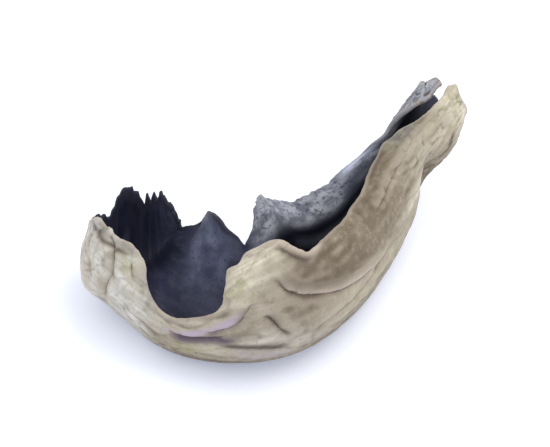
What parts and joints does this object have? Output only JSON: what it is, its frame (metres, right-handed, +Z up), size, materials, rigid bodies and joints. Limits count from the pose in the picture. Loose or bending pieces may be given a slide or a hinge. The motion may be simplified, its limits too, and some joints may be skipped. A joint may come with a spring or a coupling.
{
  "type": "dried wood ear mushroom",
  "caption": "Dried wood ear mushroom: a thin leathery sheet curled into an open scoop, with a rolled horn-shaped stem end raised off the table.",
  "frame": {"origin": "middle of the footprint's bounding box, on the table the mushroom rests on", "axes": "+X along the longest extent, from the scoop to the stem end; +Y to the back, the side the stem end points to; +Z up from the table"},
  "size_m": [0.0486, 0.045, 0.0172],
  "materials": {
    "dried_flesh": "matt felted tan outside, satin blue-black inside"
  },
  "bodies": {
    "root": {"wood_ear": "dried_flesh"}
  },
  "joints": []
}
